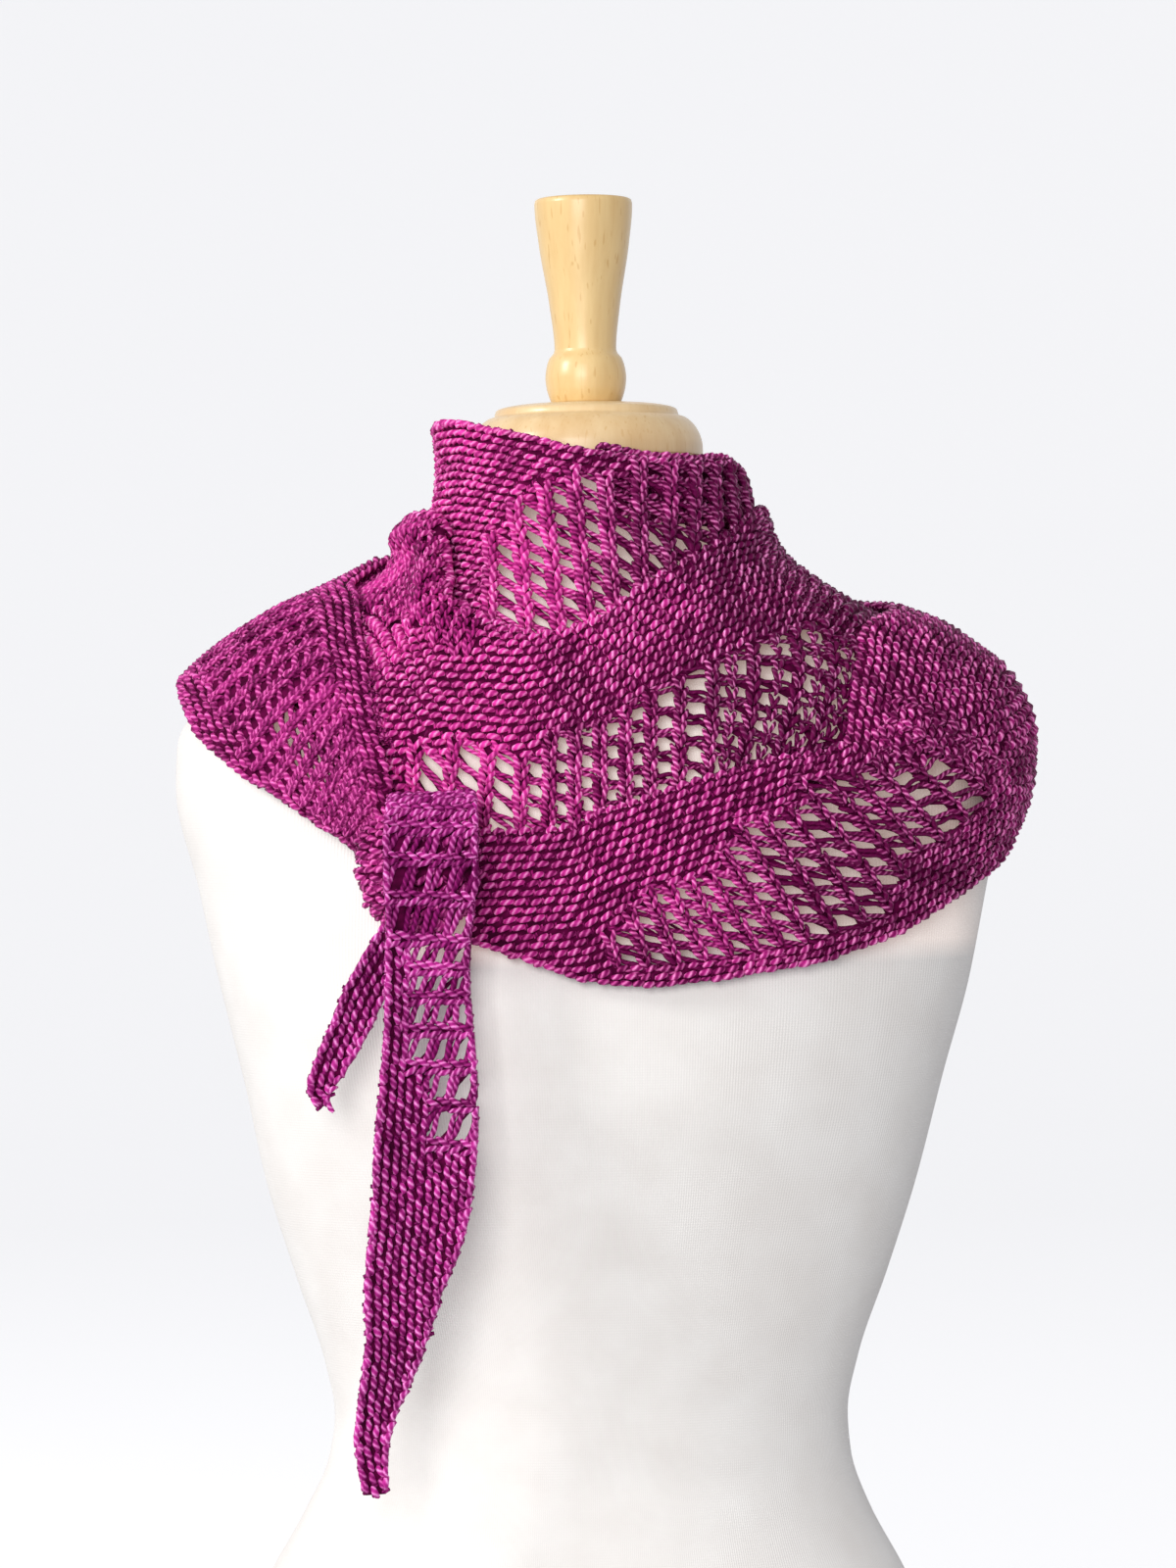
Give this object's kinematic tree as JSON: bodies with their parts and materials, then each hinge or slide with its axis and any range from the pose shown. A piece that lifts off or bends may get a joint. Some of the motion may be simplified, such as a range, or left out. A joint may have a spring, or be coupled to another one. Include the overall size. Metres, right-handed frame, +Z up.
{
  "type": "knitted shawl scarf on a dress form",
  "caption": "Hand knitted lace and garter shawl scarf wound round the neck and shoulders of a limbless dress form, tied at the front with hanging tails.",
  "frame": {"origin": "centre of the dress form's flat base", "axes": "+Z up, -Y out of the front of the form, +X to the right as the front is looked at"},
  "size_m": [0.402, 0.2628, 0.8038],
  "materials": {
    "collar_front_yarn": "hand dyed wool, lace and garter knit",
    "collar_back_yarn": "hand dyed wool, lace and garter knit",
    "cowl_front_yarn": "hand dyed wool, lace and garter knit",
    "cowl_back_yarn": "hand dyed wool, lace and garter knit",
    "cape_front_yarn": "hand dyed wool, lace and garter knit",
    "cape_back_yarn": "hand dyed wool, lace and garter knit",
    "left_drape_yarn": "hand dyed wool, lace and garter knit",
    "knot_yarn": "hand dyed wool, garter knit",
    "long_tail_yarn": "hand dyed wool, lace and garter knit",
    "short_tail_yarn": "hand dyed wool, garter knit",
    "jersey": "matt white jersey cover",
    "maple": "satin varnished turned maple"
  },
  "bodies": {
    "root": {"collar_front": "collar_front_yarn", "collar_back": "collar_back_yarn", "cowl_front": "cowl_front_yarn", "cowl_back": "cowl_back_yarn", "cape_front": "cape_front_yarn", "cape_back": "cape_back_yarn", "left_drape": "left_drape_yarn", "knot": "knot_yarn", "long_tail": "long_tail_yarn", "short_tail": "short_tail_yarn", "torso": "jersey", "neck_cap": "maple", "finial": "maple"}
  },
  "joints": []
}
